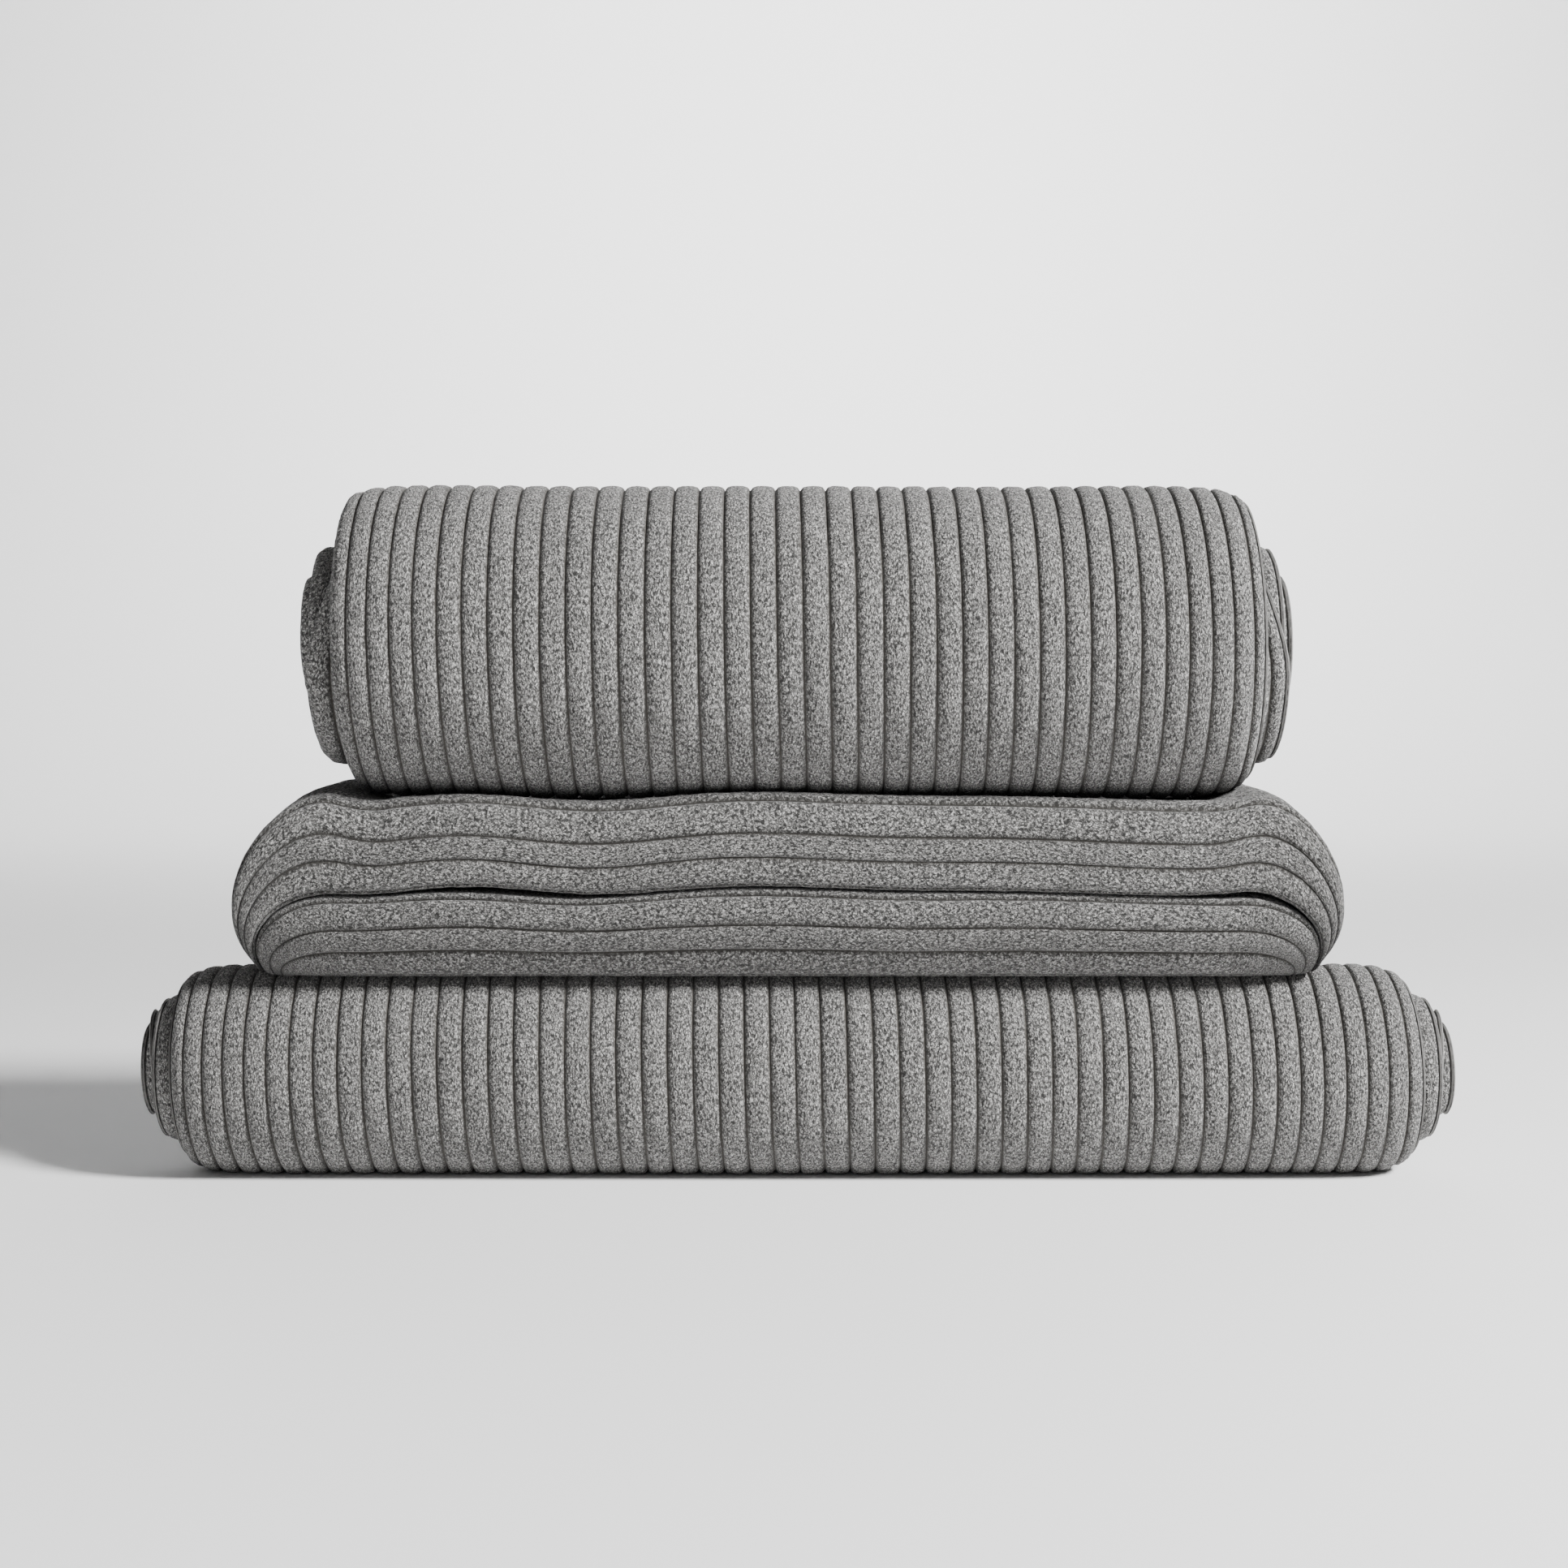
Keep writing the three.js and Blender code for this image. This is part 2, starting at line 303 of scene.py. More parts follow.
class Roll:
    """A cloth wound about the X axis, as the CAD winds it, with the slack and the slips of a
    real one: its inner turns stand out at the ends, and its outer edges are drawn in."""

    lean = 1.6 * MM               # a turn stands this far one way above, the other way below
    drift = 0.7 * MM              # how far a turn strays along the axis
    slack = 0.9 * MM              # and in or out
    sharp_round = (8 * MM, 9 * MM)      # an end is rounded this deep, and this far from its edge
    broad_round = (4 * MM, 28 * MM)     # with a broader rounding on top
    saddle_fade = 14 * MM         # over this the dent under the folded towel dies out
    hole = 1 * MM                 # no cloth comes nearer to the axis

    def __init__(self, layers, cloth_length, half_length, underside, seat, saddle, ends, seed):
        self.layers, self.half_length, self.seat = layers, half_length, seat
        self.saddle, self.ends, self.seed = saddle, ends, seed
        self.pitch = layers + CLEARANCE
        self.core = 5 * MM + layers
        self.radius = math.sqrt(cloth_length * self.pitch / math.pi + self.core**2)
        self.start = -2 * math.pi * (self.radius - self.core) / self.pitch
        self.axis_z = underside + self.radius * math.cos(SEAT)

    def length_at(self, angle):
        """How much cloth is wound up by this angle."""
        mean = self.radius + self.pitch * (angle + self.start) / (4 * math.pi) - self.layers / 2
        return mean * (angle - self.start)

    def place(self, angle, x, depth):
        # The loose end lies flat on the turn under it.
        settled = ease(angle, FREE_END - 0.9, FREE_END - 0.3)
        depth = self.layers - (self.layers - depth) * (1 - (1 - SETTLED) * settled)

        turns_below = round(-angle / (2 * math.pi))
        turns_above = round((-angle - math.pi) / (2 * math.pi))
        spiral = self.radius + self.pitch * angle / (2 * math.pi)
        from_end = self.half_length - np.abs(x)
        share = spiral / self.radius

        # The outer turns are drawn in at both ends, and bunch their ribs as they are.
        wound_in = share - self.ends["skew"] * math.cos(angle)
        outer = sum(part * ease(wound_in, *span) for span, part in self.ends["steps"])
        inner_slip = np.where(x < 0, *self.ends["inner"])
        drawn = inner_slip + (self.ends["outer"] - inner_slip) * outer
        bunch = np.where(x < 0, *self.ends["bunch"])
        moved = x - np.sign(x) * drawn * np.exp(-from_end / bunch)
        moved = moved + self.lean * math.cos(angle) * share
        wound = self.length_at(angle)
        moved = moved + self.drift * soft_noise(x, wound, 70 * MM, 90 * MM, self.seed)

        # The ends are rounded over, the outermost turn the most.
        (sharp, sharp_reach), (broad, broad_reach) = self.sharp_round, self.broad_round
        rounded = sharp * np.exp(-from_end / sharp_reach) + broad * np.exp(-from_end / broad_reach)
        rounded = rounded * share**3
        loose = self.slack * soft_noise(x, wound, 110 * MM, 70 * MM, self.seed + 1) * share
        radius = spiral - depth - rounded - self.slack * share + loose

        down = math.cos(angle)
        if down > 0:
            pressed = (self.radius - turns_below * self.pitch - depth) * math.cos(self.seat) / down
            radius = np.minimum(radius, pressed)
        if down < 0 and self.saddle:
            weight = 1 / (1 + np.exp((np.abs(x) - self.saddle) / self.saddle_fade))
            top = self.radius - self.pitch / 2
            pressed = (top - turns_above * self.pitch - depth) * math.cos(SEAT) / -down
            radius = np.minimum(radius, radius * (1 - weight) + pressed * weight)
        radius = np.maximum(radius, self.hole)
        return np.stack([moved, radius * math.sin(angle), self.axis_z - radius * down], 1)

    def rows(self, first, last, fine_step, coarse_step):
        """Rows between two angles, as (angle, cloth wound up), fine over the outermost turn."""
        outermost = FREE_END - 2 * math.pi - 0.25
        rows, fine = [], []
        angle = first
        while angle < last - 1e-6:
            is_fine = angle >= outermost
            rows.append((angle, self.length_at(angle)))
            fine.append(is_fine)
            step = fine_step / self.radius if is_fine else coarse_step
            angle += step
        rows.append((last, self.length_at(last)))
        fine.append(fine[-1])
        if fine[-1]:
            fine[-1] = fine[0] = False
        return rows, fine


def rib_columns(from_flat, to_flat, fine_all):
    """Lines across the ribs between two places on the flat cloth. The second list says which
    ones a coarse row keeps: one to a rib, and every line near the two ends."""
    first, last = math.ceil(from_flat / RIB), math.floor(to_flat / RIB)
    flat = {from_flat: True, to_flat: True}
    edge = 2.2 * RIB
    for n in range(first - 1, last + 1):
        for line in RIB_LINES:
            at = (n + line) * RIB
            if not from_flat + 0.2 * MM < at < to_flat - 0.2 * MM:
                continue
            near = min(at - from_flat, to_flat - at) < edge
            keep = line == 0 or near
            if fine_all or keep:
                flat[at] = keep
    for inset in (0.3, 1.0, 2.2):
        flat[from_flat + inset * MM] = True
        flat[to_flat - inset * MM] = True
    places = sorted(flat)
    return places, [flat[p] for p in places]


def single_strip(half_length, width):
    """One layer from end to end."""
    flat, keep = rib_columns(-width / 2, width / 2, True)
    flat = np.array(flat)
    x = flat * (half_length / (width / 2))
    face = [(0, -1)] * len(flat)
    return Strip(x, np.full(len(flat), PLY / 2), face, flat, keep, keep)


def fold_arc(count):
    """Shares of a half turn, for the columns round a fold."""
    return [(k + 0.5) / count for k in range(count)]


def folded_once_strip(half_length, width):
    """The outer layer from the right end to the fold at the left, and the inner layer back."""
    turn = (PLY + CLEARANCE) / 2
    crease = -half_length + turn + PLY / 2
    run = half_length - crease
    arc = math.pi * turn
    outer_flat, keep = rib_columns(-run - arc / 2, -arc / 2, True)
    x = [crease - (f + arc / 2) for f in outer_flat]
    depth = [PLY / 2] * len(x)
    face = [(0, -1)] * len(x)
    flat = list(outer_flat)
    for share in fold_arc(6):
        angle = math.pi * share
        x.append(crease - turn * math.sin(angle))
        depth.append(PLY / 2 + turn - turn * math.cos(angle))
        face.append((-math.sin(angle), -math.cos(angle)))
        flat.append(-arc / 2 + arc * share)
        keep.append(True)
    inner_flat, inner_keep = rib_columns(arc / 2, run + arc / 2, False)
    x += [crease + (f - arc / 2) for f in inner_flat]
    depth += [PLY / 2 + 2 * turn] * len(inner_flat)
    face += [(0, 1)] * len(inner_flat)
    flat += inner_flat
    keep += inner_keep
    return Strip(x, depth, face, flat, keep, keep)


def side_hem_strip(x, top, side):
    """The hem down one side of a roll's layer, seen on the roll's end."""
    count = 5
    flat = np.linspace(0.8 * MM, PLY - 0.8 * MM, count)
    face = [(side, 0)] * count
    keep = [True] * count
    return Strip(np.full(count, x), top + flat, face, flat, keep, keep)


def make_roll(roll, strip, name, side_hems, material_seed, seed):
    """A roll's cloth and hems. name begins the names of the CAD nodes they stand for."""
    end_hem = END_HEM_WIDTH / (roll.radius - roll.layers / 2)
    first_hem = END_HEM_WIDTH / (roll.core - roll.layers / 2)
    cloth_from, cloth_to = roll.start + first_hem, FREE_END - end_hem
    coarse = math.radians(8)
    seam_in, seam_out = 0.01, 0.004     # the cloth stops just short of its end hems, in radians

    def loss(_angle, along, flat):
        return rib_loss(flat, along, seed)

    rows, fine = roll.rows(cloth_from + seam_in, cloth_to - seam_out, 2.4 * MM, coarse)
    cloth = terry_mesh(name + "_cloth", rows, fine, strip, roll.place, loss, material_seed)

    hems = []
    for node, hem_strip in side_hems:
        rows, _ = roll.rows(cloth_from, cloth_to, 5 * MM, coarse)
        hems.append(hem_mesh(node, rows, hem_strip, roll.place, HEM))
    for node, first, last, thickness in (
        (name + "_inner_end_hem", roll.start, roll.start + first_hem, END_HEM_PLY),
        (name + "_outer_end_hem", FREE_END - end_hem, FREE_END, END_HEM_PLY / SETTLED),
    ):
        rows = [(angle, roll.length_at(angle)) for angle in np.linspace(first, last, 9)]
        hems.append(hem_mesh(node, rows, strip, roll.place, thickness))
    return cloth, hems


# ---- The folded towel --------------------------------------------------------------------


class Fold:
    """The folded towel: three layers thick, four passes high, two round folds in front. Its
    ends droop, and it is a little wavy under the roll that lies on it."""

    straight_half = 235 * MM      # beyond this the ends curve down
    end_arc = 110 * MM            # cloth in the curve of an end, along the top
    squareness = 6.0              # 2 is a round front fold, more is squarer
    front_press = 0.60            # the folds are pushed back, shorter in front than behind
    back_press = 0.88
    sag = 3 * MM                  # how far the front hangs down
    sag_from, sag_over = 22 * MM, 38 * MM     # starting this far in front, and over this depth

    # An end's curve at the top and at the gap between the folds: how far out, the height of its
    # centre, and how far round it turns, in degrees. The underside only reaches out.
    top_end = (58 * MM, 38 * MM, 122)
    gap_end = (48 * MM, 12 * MM, 108)
    base_reach = 30 * MM
    taken_in = 0.985              # the whole towel is this much shorter than the curves make it
    left_shift = 5 * MM           # and lies a little to the left
    end_pinch = 0.12              # the ends are this much narrower

    low_back, low_zone = 27 * MM, 40 * MM     # the lowest pass stands back, over this height
    high_back, high_zone = 8 * MM, 26 * MM    # and the highest pass
    trough_end = (212 * MM, 244 * MM)         # the top roll's trough fades out between these
    hump = (5 * MM, 250 * MM, 24 * MM)        # past it: how high, where and how wide
    swell = (5 * MM, -44 * MM, 13 * MM)       # the same in front of the roll

    # The slow waves of the front edge, in mm: how far each one lifts it, where and how wide.
    waves = (
        (5.0, -22, 60), (-3.2, -105, 42), (3.5, -170, 40),
        (-3.0, -232, 30), (1.5, 90, 60), (-2.5, 205, 50),
    )
    wave_held = 0.8
    front_uneven = 2.0 * MM       # how far the front strays in and out

    def __init__(self, low, high):
        self.low, self.high = low, high
        self.layers = 3 * PLY + 2 * CLEARANCE
        self.pass_height = (high[2] - low[2] - self.layers) / 3
        self.tuck = 8 * MM
        self.front = math.pi * self.pass_height / 2
        self.back = math.pi * self.pass_height * 1.5
        self.width = TOWEL[0]
        self.run = (self.width - 2 * self.front - self.back - 2 * self.tuck) / 4
        self.middle_z = (low[2] + high[2]) / 2
        depth = self.run + 2 * self.pass_height + self.layers
        self.front_y = -depth / 2 + self.pass_height / 2 + self.layers / 2
        self.back_y = self.front_y + self.run

        # The outer face is longer than the middle line round a fold, and the ribs follow it.
        run, tucked = self.run, self.run + self.tuck
        lengths = np.array([tucked, self.front, run, self.back, run, self.front, tucked])
        half = self.layers / 2
        round_front = 1 + half / (self.pass_height / 2)
        round_back = 1 + half / (self.pass_height * 1.5)
        longer = np.array([1, round_front, 1, round_back, 1, round_front, 1])
        self.stops = np.concatenate([[0], np.cumsum(lengths)])
        self.outer_stops = np.concatenate([[0], np.cumsum(lengths * longer)])

    def on_outer_face(self, s):
        return float(np.interp(s, self.stops, self.outer_stops))

    def from_outer_face(self, outer):
        return float(np.interp(outer, self.outer_stops, self.stops))

    def course(self, s):
        """The middle line at a distance across the cloth, and the way its outer face looks."""
        p = self.pass_height
        legs = (
            (self.run + self.tuck, "run", self.back_y + self.tuck, -1, p / 2, -1),
            (self.front, "turn", self.front_y, p, p / 2, -90),
            (self.run, "run", self.front_y, 1, 1.5 * p, 1),
            (self.back, "turn", self.back_y, 0, 1.5 * p, 90),
            (self.run, "run", self.back_y, -1, -1.5 * p, -1),
            (self.front, "turn", self.front_y, -p, p / 2, -90),
            (self.run + self.tuck, "run", self.front_y, 1, -p / 2, 1),
        )
        left = min(max(s, 0.0), self.width)
        for length, kind, a, b, c, d in legs:
            if left <= length + 1e-9:
                break
            left -= length
        share = left / length
        if kind == "run":
            return (a + b * left, c), (0, d)
        angle = math.radians(d - 180 * share)
        out = (math.cos(angle), math.sin(angle))
        n = self.squareness if d < 0 else 2
        squared = (abs(out[0]) ** n + abs(out[1]) ** n) ** (-1 / n)
        out = (out[0] * squared, out[1] * squared)
        return (a + out[0] * c, b + out[1] * c), out

    def place(self, s, x, depth):
        (y, z), out = self.course(s)
        rise = self.layers / 2 - depth
        y = y + out[0] * rise
        z = z + out[1] * rise
        height = self.high[2] - self.low[2]
        q = (z + height / 2) / height

        # Ends: the top, the gap between the folds and the underside each have their own curve.
        beyond = np.clip((np.abs(x) - self.straight_half) / self.end_arc, 0, 1)
        top = self.end_curve(beyond, height, *self.top_end)
        gap = self.end_curve(beyond, height / 2, *self.gap_end)
        base = (self.base_reach * np.sin(beyond * math.pi / 2), np.zeros_like(beyond))
        upper = np.clip(2 * q - 1, 0, 1)
        lower = np.clip(2 * q, 0, 1)
        out_x, up_z = (
            np.where(q > 0.5, g + (t - g) * upper, b + (g - b) * lower)
            for t, g, b in zip(top, gap, base)
        )
        side = np.sign(x)
        straight = np.minimum(np.abs(x), self.straight_half)
        new_x = side * (straight + out_x) * self.taken_in - self.left_shift
        new_z = self.low[2] + up_z
        pressed = np.where(y < 0, self.front_press, self.back_press)
        new_y = y * (1 - self.end_pinch * beyond**2) * pressed
        hanging = np.clip(-(new_y + self.sag_from) / self.sag_over, 0, 1) ** 2
        new_z = new_z - self.sag * hanging

        # The lowest and the highest pass stand back from the front, like a rounded cushion.
        front_face = ease(-new_y, 5 * MM, 45 * MM)
        low_pass = np.clip(1 - up_z / self.low_zone, 0, 1) ** 2
        high_pass = np.clip((up_z - height) / self.high_zone + 1, 0, 1) ** 2
        new_y = new_y + front_face * (self.low_back * low_pass + self.high_back * high_pass)

        # The top roll sinks in, and the towel stands higher past its ends and behind it.
        under_roll = 1 - ease(np.abs(new_x), *self.trough_end)
        under_roll = under_roll * (1 - ease(new_y, 40 * MM, 75 * MM))
        new_z = new_z - SUNK * under_roll * ease(q, 0.3, 1)
        rise, where, width = self.hump
        new_z = new_z + rise * bump(np.abs(new_x), where, width) * ease(q, 0.5, 1)

        # In front of the roll the towel swells up against it.
        rise, where, width = self.swell
        swell = bump(new_y, where, width) * (1 - ease(np.abs(new_x), 205 * MM, 240 * MM))
        new_z = new_z + rise * swell * ease(q, 0.6, 1)

        # The two front folds lie close, and gape a little in two places.
        gape = bump(new_x, -150 * MM, 50 * MM) + bump(new_x, 238 * MM, 28 * MM)
        parting = np.sign(q - 0.5) * bump(q, 0.5, 0.14) * front_face
        new_z = new_z + parting * (1.2 * gape - 0.6) * MM

        # The slow waves of cloth pressed by the roll, only in front of where it rests.
        forward = ease(-new_y, 22 * MM, 52 * MM)
        wave = sum(lift * bump(new_x, at * MM, wide * MM) for lift, at, wide in self.waves) * MM
        held = np.clip((up_z / height) * 1.6, 0, 1) * forward * (1 - beyond)
        new_z = new_z + wave * held * self.wave_held
        uneven = soft_noise(new_x, q * 60 * MM, 85 * MM, 25 * MM, 31)
        new_y = new_y + self.front_uneven * uneven * forward
        return np.stack([new_x, new_y, new_z], 1)

    @staticmethod
    def end_curve(beyond, top, reach, centre, turned):
        """An end's curve, from level at the top round to tucked under: how far out, how high."""
        theta = beyond * math.radians(turned)
        return reach * np.sin(theta), centre + (top - centre) * np.cos(theta)


def letter_strip(fold):
    """Across the folded towel: a flap from the right end, the full outer layer, and a flap
    from the left end, with the two end folds between them."""
    half = fold.straight_half + fold.end_arc
    layer = PLY + CLEARANCE
    x, depth, face, flat, keep = [], [], [], [], []
    at = 0.0

    def line(x0, x1, level, looks, step, coarse):
        nonlocal at
        count = max(2, round(abs(x1 - x0) / step))
        every = max(1, round(coarse / step))
        for k in range(count + 1):
            share = k / count
            x.append(x0 + (x1 - x0) * share)
            depth.append(PLY / 2 + level * layer)
            face.append((0, looks))
            flat.append(at + abs(x1 - x0) * share)
            keep.append(k % every == 0 or k == count or k <= 1 or k >= count - 1)
        at += abs(x1 - x0)

    def crease(x0, side, from_level, to_level):
        nonlocal at
        radius = layer * abs(to_level - from_level) / 2
        middle = PLY / 2 + layer * (from_level + to_level) / 2
        start = math.copysign(1, from_level - to_level)
        for share in fold_arc(5):
            angle = math.pi * share
            x.append(x0 + side * radius * math.sin(angle))
            depth.append(middle + start * radius * math.cos(angle))
            face.append((side * math.sin(angle), start * math.cos(angle)))
            flat.append(at + math.pi * radius * share)
            keep.append(True)
        at += math.pi * radius

    right, left = half - layer, -half + layer / 2
    line(-FLAP_REACH, right, 2, 1, 16 * MM, 16 * MM)
    crease(right, 1, 2, 0)
    line(right, left, 0, -1, 3 * MM, 15 * MM)
    crease(left, -1, 0, 1)
    line(left, FLAP_REACH, 1, 1, 16 * MM, 16 * MM)
    flat = np.array(flat) + np.arange(len(flat)) * 1e-7
    return Strip(x, depth, face, flat, keep, keep)


def folded_rows(fold, first, last):
    """Rows across the ribs of the folded towel, coarse inside where nothing shows."""
    start, end = fold.on_outer_face(first), fold.on_outer_face(last)
    lines = sorted({start, end} | {
        (n + line) * RIB for n in range(math.floor(end / RIB) + 1) for line in RIB_LINES
        if start + 0.3 * MM < (n + line) * RIB < end - 0.3 * MM
    })
    hidden = fold.run * 0.8
    rows, fine = [], []
    for outer in lines:
        s = fold.from_outer_face(outer)
        is_fine = hidden < s < fold.width - hidden
        line = round((outer / RIB) % 1.0, 3)
        if is_fine or line in (0.0, 0.5, 1.0) or outer in (start, end):
            rows.append((s, outer))
            fine.append(is_fine)
    return rows, fine


def make_folded():
    """The folded towel's cloth and its four hems."""
    low, high = low_high("folded_cloth")
    fold = Fold(low, high)
    strip = letter_strip(fold)
    far_edge = fold.width - SIDE_HEM_WIDTH
    rows, fine = folded_rows(fold, SIDE_HEM_WIDTH, far_edge)

    def loss(_s, outer, flat):
        return rib_loss(np.full(len(flat), outer), flat, 21)

    cloth = terry_mesh("folded_cloth", rows, fine, strip, fold.place, loss, 3, 0.8, swap=True)
    hems = []
    for node, first, last in (
        ("folded_upper_side_hem", 0, SIDE_HEM_WIDTH - CLEARANCE),
        ("folded_lower_side_hem", far_edge + CLEARANCE, fold.width),
    ):
        rows = [(s, s) for s in np.linspace(first, last, 5)]
        hems.append(hem_mesh(node, rows, strip, fold.place, END_HEM_PLY, swap=True))

    layer = PLY + CLEARANCE
    near = FLAP_REACH + CLEARANCE
    count = 6
    keep = [True] * count
    for node, x0, x1, level in (
        ("folded_left_flap_end_hem", near, FLAP_REACH + END_HEM_WIDTH, 1),
        ("folded_right_flap_end_hem", -FLAP_REACH - END_HEM_WIDTH, -near, 2),
    ):
        x = np.linspace(x0, x1, count)
        depth = np.full(count, PLY / 2 + level * layer)
        band = Strip(x, depth, [(0, 1)] * count, x - x0, keep, keep)
        rows = [(s, s) for s in np.linspace(SIDE_HEM_WIDTH, far_edge, 120)]
        hems.append(hem_mesh(node, rows, band, fold.place, END_HEM_PLY, swap=True))
    return cloth, hems


# ---- Materials ---------------------------------------------------------------------------


def new_material(name):
    material = bpy.data.materials.new(name)
    material.use_nodes = True
    nodes, links = material.node_tree.nodes, material.node_tree.links
    return material, nodes, links, nodes["Principled BSDF"]


def maths(nodes, links, operation, a, b):
    node = nodes.new("ShaderNodeMath")
    node.operation = operation
    for socket, value in ((node.inputs[0], a), (node.inputs[1], b)):
        if isinstance(value, (int, float)):
            socket.default_value = value
        else:
            links.new(value, socket)
    return node.outputs[0]


def cloth_place(nodes, links, size):
    """Where a point lies on the flat cloth, in millimetres: X across the ribs, Y along."""
    uv = nodes.new("ShaderNodeUVMap")
    uv.uv_map = "OFBake"
    scale = nodes.new("ShaderNodeMapping")
    scale.inputs["Scale"].default_value = (size[0] / MM, size[1] / MM, 1)
    links.new(uv.outputs["UV"], scale.inputs["Vector"])
    return scale.outputs["Vector"]


def stretched(nodes, links, vector, across, along):
    node = nodes.new("ShaderNodeMapping")
    node.inputs["Scale"].default_value = (1 / across, 1 / along, 1)
    links.new(vector, node.inputs["Vector"])
    return node.outputs["Vector"]


def noise(nodes, links, vector, detail, rough, distortion):
    node = nodes.new("ShaderNodeTexNoise")
    node.inputs["Scale"].default_value = 1
    node.inputs["Detail"].default_value = detail
    node.inputs["Roughness"].default_value = rough
    node.inputs["Distortion"].default_value = distortion
    links.new(vector, node.inputs["Vector"])
    return node.outputs["Fac"]


def ramp(nodes, links, value, stops):
    node = nodes.new("ShaderNodeValToRGB")
    elements = node.color_ramp.elements
    while len(elements) < len(stops):
        elements.new(0.5)
    for element, (position, colour) in zip(elements, stops):
        element.position = position
        element.color = (*colour, 1)
    links.new(value, node.inputs["Fac"])
    return node.outputs["Color"]


def grey(level, warmth=0.02):
    return (level * (1 + warmth), level, level * (1 - 1.5 * warmth))


def multiply(nodes, links, a, b):
    node = nodes.new("ShaderNodeMix")
    node.data_type = "RGBA"
    node.blend_type = "MULTIPLY"
    node.inputs["Factor"].default_value = 1
    links.new(a, node.inputs["A"])
    links.new(b, node.inputs["B"])
    return node.outputs["Result"]


def raise_surface(nodes, links, shader, height, strength, distance):
    """Bump a shader's surface by a height of 0 to 1."""
    relief = nodes.new("ShaderNodeBump")
    relief.inputs["Strength"].default_value = strength
    relief.inputs["Distance"].default_value = distance
    links.new(height, relief.inputs["Height"])
    links.new(relief.outputs["Normal"], shader.inputs["Normal"])


def loops_of_yarn(nodes, links, vector):
    """Packed crooked loops, 1 at the top of each and 0 in the gaps between them."""
    sway = nodes.new("ShaderNodeTexNoise")
    sway.inputs["Scale"].default_value = 0.9
    sway.inputs["Detail"].default_value = 1
    links.new(vector, sway.inputs["Vector"])
    bent = nodes.new("ShaderNodeVectorMath")
    bent.operation = "MULTIPLY_ADD"
    bent.inputs[1].default_value = (2.2, 2.2, 0)
    links.new(sway.outputs["Color"], bent.inputs[0])
    links.new(vector, bent.inputs[2])
    cells = nodes.new("ShaderNodeTexVoronoi")
    cells.voronoi_dimensions = "2D"
    cells.inputs["Scale"].default_value = 1
    links.new(bent.outputs["Vector"], cells.inputs["Vector"])
    return maths(nodes, links, "SUBTRACT", 1, cells.outputs["Distance"])


def terry(size, seed, tone=1.0):
    """Looped pile: short crooked curls about a mid grey, painted dark in the gaps between the loops as
    painted shade and light on their tops as painted highlight.
    The grooves take a dark olive: partly the weave's own colour, partly painted shade that also
    darkens each rib towards its edges.
    tone makes the whole cloth lighter or darker, and its grooves darker still."""
    material, nodes, links, shader = new_material(f"terry_{seed}")
    place = cloth_place(nodes, links, size)
    loops = loops_of_yarn(nodes, links, stretched(nodes, links, place, 0.95, 1.7))
    curls = noise(nodes, links, stretched(nodes, links, place, 1.0, 1.7), 2.0, 0.65, 1.3)
    broad = noise(nodes, links, stretched(nodes, links, place, 30, 70), 2.0, 0.5, 0.0)
    pile = nodes.new("ShaderNodeAttribute")
    pile.attribute_name = "pile"

    packed = maths(nodes, links, "MULTIPLY", loops, 0.3)
    height = maths(nodes, links, "ADD", packed, maths(nodes, links, "MULTIPLY", curls, 0.7))
    # Painted shade and highlight: the colour is darkest in the gaps between the loops and lightest on
    # their tops.
    colour = ramp(nodes, links, height, [
        (0.40, grey(0.03 * tone)), (0.51, grey(0.11 * tone)),
        (0.59, grey(0.24 * tone)), (0.70, grey(0.62 * tone)),
    ])
    patches = ramp(nodes, links, broad, [(0.3, grey(0.86, 0)), (0.7, grey(1.0, 0))])
    colour = multiply(nodes, links, colour, patches)
    # The grooves' dark olive is partly the ground weave's own colour and partly painted shade, faded
    # in over each rib's edges. tone**4 makes the folded towel's grooves darker still, as painted
    # shade.
    on_rib = ramp(nodes, links, pile.outputs["Fac"], [(0.16, grey(0, 0)), (0.78, grey(1, 0))])
    groove = nodes.new("ShaderNodeMix")
    groove.data_type = "RGBA"
    groove.inputs["A"].default_value = (*grey(0.055 * tone**4, 0.07), 1)
    links.new(on_rib, groove.inputs["Factor"])
    links.new(colour, groove.inputs["B"])
    links.new(groove.outputs["Result"], shader.inputs["Base Color"])

    raise_surface(nodes, links, shader, maths(nodes, links, "MULTIPLY", height, on_rib), 1.0, 1.5 * MM)
    shader.inputs["Roughness"].default_value = 0.95
    shader.inputs["Specular IOR Level"].default_value = 0.15
    shader.inputs["Sheen Weight"].default_value = 0.15
    shader.inputs["Sheen Roughness"].default_value = 0.5
    return material


def woven(size):
    """Flat woven hem: fine slightly crooked cross ribs, with single yarns showing."""
    material, nodes, links, shader = new_material("hem_weave")
    place = cloth_place(nodes, links, size)
    wave = nodes.new("ShaderNodeTexWave")
    wave.inputs["Scale"].default_value = 0.14
    wave.inputs["Distortion"].default_value = 1.5
    wave.inputs["Detail"].default_value = 1
    wave.inputs["Detail Scale"].default_value = 1.5
    links.new(stretched(nodes, links, place, 0.9, 0.9), wave.inputs["Vector"])
    fine = noise(nodes, links, stretched(nodes, links, place, 0.6, 0.6), 2.0, 0.6, 0.2)
    both = maths(nodes, links, "ADD", wave.outputs["Fac"], fine)
    height = maths(nodes, links, "MULTIPLY", both, 0.5)
    colour = ramp(nodes, links, height, [
        (0.25, grey(0.05)), (0.5, grey(0.13)), (0.75, grey(0.26)),
    ])
    links.new(colour, shader.inputs["Base Color"])
    raise_surface(nodes, links, shader, height, 0.8, 0.5 * MM)
    shader.inputs["Roughness"].default_value = 0.9
    shader.inputs["Specular IOR Level"].default_value = 0.2
    return material


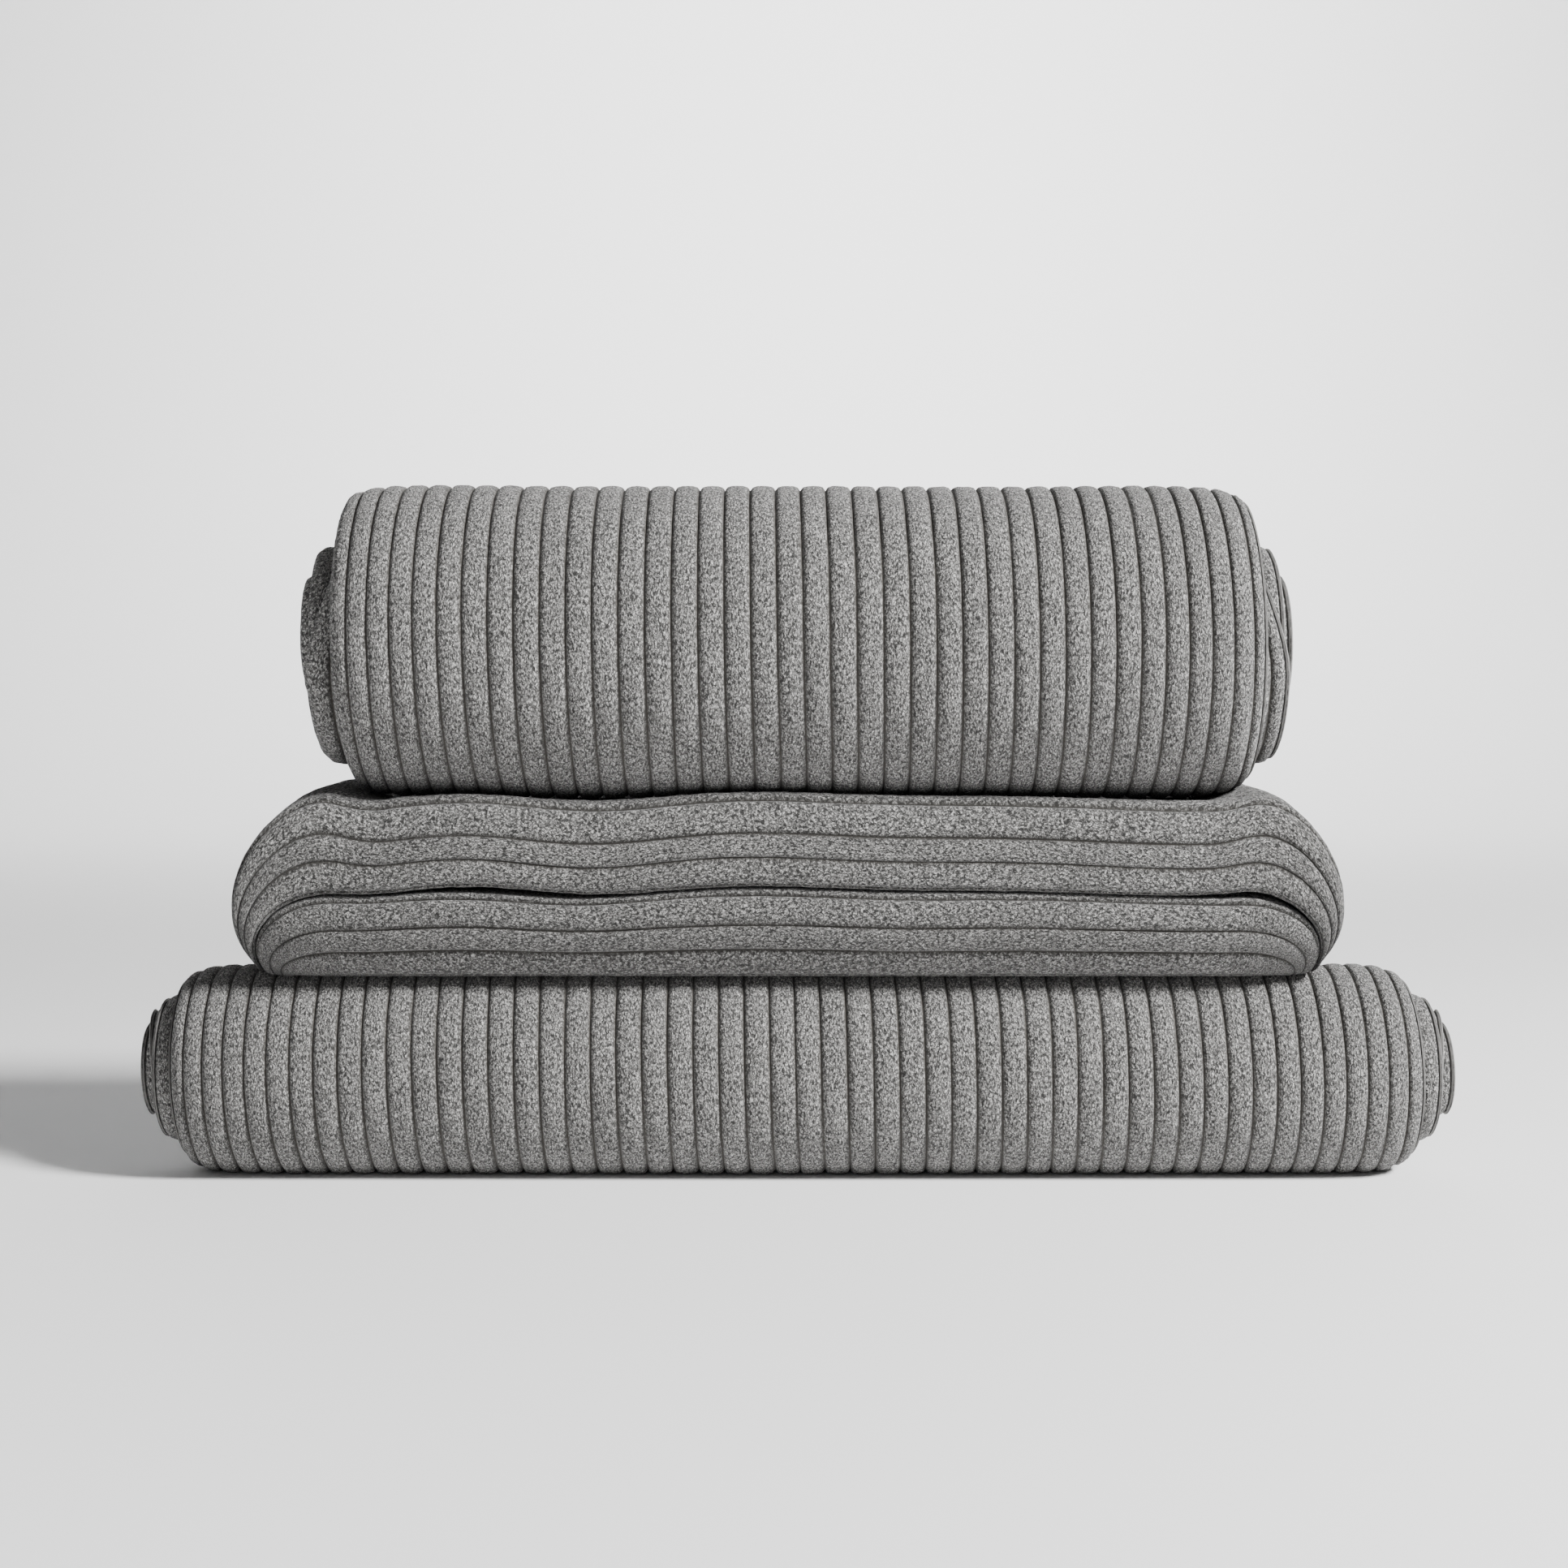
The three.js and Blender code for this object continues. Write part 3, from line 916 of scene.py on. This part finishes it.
# ---- Camera, floor and light -------------------------------------------------------------

CAMERA_AIM = (-0.007, 0, 0.2073)
CAMERA_AWAY = 1.40
CAMERA_TILT = math.radians(3)
LENS = 60                     # millimetres, on a sensor 36 wide

FLOOR_FRONT = -6.0            # the floor runs level from here in front of the towels
FLOOR_BACK = 2.4              # to here behind them,
FLOOR_CURVE = 1.6             # curves up with this radius
FLOOR_TOP = 7.0               # and stops at this height
FLOOR_HALF_WIDTH = 8.0

LIGHT_AIM = (0, 0, 0.2)       # the middle of the stack


def add_camera():
    """At the height of the folded towel, looking a little down, a touch left of the middle."""
    data = bpy.data.cameras.new("camera")
    data.sensor_width = 36
    data.lens = LENS
    camera = bpy.data.objects.new("camera", data)
    target = Vector(CAMERA_AIM)
    back, up = CAMERA_AWAY * math.cos(CAMERA_TILT), CAMERA_AWAY * math.sin(CAMERA_TILT)
    camera.location = target + Vector((0, -back, up))
    camera.rotation_euler = (target - camera.location).to_track_quat("-Z", "Y").to_euler()
    bpy.context.scene.collection.objects.link(camera)
    bpy.context.scene.camera = camera


def add_floor():
    """A pale floor that curves up behind into the backdrop."""
    steps = 24
    profile = [(FLOOR_FRONT, 0.0), (FLOOR_BACK, 0.0)]
    for k in range(1, steps + 1):
        angle = math.pi / 2 * k / steps
        behind, up = FLOOR_CURVE * math.sin(angle), FLOOR_CURVE - FLOOR_CURVE * math.cos(angle)
        profile.append((FLOOR_BACK + behind, up))
    profile.append((FLOOR_BACK + FLOOR_CURVE, FLOOR_TOP))
    points = [(x, y, z) for y, z in profile for x in (-FLOOR_HALF_WIDTH, FLOOR_HALF_WIDTH)]
    faces = [(2 * k, 2 * k + 1, 2 * k + 3, 2 * k + 2) for k in range(len(profile) - 1)]
    mesh = bpy.data.meshes.new("floor")
    mesh.from_pydata(points, [], faces)
    mesh.shade_smooth()
    floor = bpy.data.objects.new("floor", mesh)
    bpy.context.scene.collection.objects.link(floor)
    material, _, _, shader = new_material("floor_paper")
    shader.inputs["Base Color"].default_value = (0.93, 0.93, 0.93, 1)
    shader.inputs["Roughness"].default_value = 0.9
    shader.inputs["Specular IOR Level"].default_value = 0.1
    mesh.materials.append(material)


def area_light(name, place, aim, size, power):
    """A round light, its size across in metres and its power in watts."""
    data = bpy.data.lights.new(name, "AREA")
    data.shape = "DISK"
    data.size = size
    data.energy = power
    light = bpy.data.objects.new(name, data)
    light.location = place
    light.rotation_euler = (Vector(aim) - Vector(place)).to_track_quat("-Z", "Y").to_euler()
    bpy.context.scene.collection.objects.link(light)
    return data


def add_lights():
    """A key from the right, a weak front light, a light on the backdrop and a dim world."""
    area_light("key", (2.3, -1.5, 2.2), LIGHT_AIM, 0.8, 335)
    area_light("front", (-0.8, -3.0, 1.3), LIGHT_AIM, 2.4, 10)
    backdrop = area_light("backdrop", (0.3, 1.8, 3.6), (0, 4.2, 1.0), 2.0, 100)
    backdrop.spread = math.radians(100)
    world = bpy.data.worlds.new("studio")
    world.use_nodes = True
    background = world.node_tree.nodes["Background"]
    background.inputs["Color"].default_value = (0.8, 0.8, 0.8, 1)
    background.inputs["Strength"].default_value = 0.15
    bpy.context.scene.world = world


# ---- The set -----------------------------------------------------------------------------


def make_bottom():
    """The bath towel rolled up at the bottom, one layer thick."""
    underside = low_high("bottom_roll_cloth")[0][2]
    half_length = -low_high("bottom_roll_left_hem")[0][0]
    saddle = low_high("folded_cloth")[1][0] - 14 * MM
    ends = {
        "outer": 22 * MM,
        "inner": (1.5 * MM, 1.5 * MM),
        "steps": (((0.52, 0.60), 0.45), ((0.74, 0.82), 0.55)),
        "skew": 0.0,
        "bunch": (62 * MM, 85 * MM),
    }
    roll = Roll(PLY, TOWEL[1], half_length, underside, SEAT, saddle, ends, 5)
    strip = single_strip(half_length - HEM, TOWEL[0] - 2 * HEM)
    hems = [
        ("bottom_roll_left_hem", side_hem_strip(-half_length + HEM / 2, 0, -1)),
        ("bottom_roll_right_hem", side_hem_strip(half_length - HEM / 2, 0, 1)),
    ]
    return make_roll(roll, strip, "bottom_roll", hems, 1, 11)


def make_top():
    """The bath sheet on top, folded once and rolled up."""
    underside = low_high("top_roll_cloth")[0][2]
    half_length = low_high("top_roll_outer_side_hem")[1][0]
    layers = 2 * PLY + CLEARANCE
    ends = {
        "outer": 15.5 * MM,
        "inner": (-8 * MM, -4 * MM),
        "steps": (((0.52, 0.58), 0.30), ((0.76, 0.82), 0.70)),
        "skew": 0.08,
        "bunch": (45 * MM, 55 * MM),
    }
    roll = Roll(layers, SHEET[1], half_length, underside, SOFT_SEAT, None, ends, 8)
    strip = folded_once_strip(half_length, SHEET[0])
    strip.x = np.where(strip.x > 0, strip.x * (half_length - HEM) / half_length, strip.x)
    hems = [
        ("top_roll_outer_side_hem", side_hem_strip(half_length - HEM / 2, 0, 1)),
        ("top_roll_inner_side_hem", side_hem_strip(half_length - HEM / 2, PLY + CLEARANCE, 1)),
    ]
    return make_roll(roll, strip, "top_roll", hems, 2, 17)


def declare(cloth, hems, body):
    """Put a towel's pieces on the body they ride on."""
    for piece in [cloth, *hems]:
        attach(piece, body)


add_camera()
add_floor()
add_lights()

bottom, bottom_hems = make_bottom()
folded, folded_hems = make_folded()
top, top_hems = make_top()

declare(bottom, bottom_hems, "bottom_towel")
declare(folded, folded_hems, "middle_towel")
declare(top, top_hems, "top_towel")
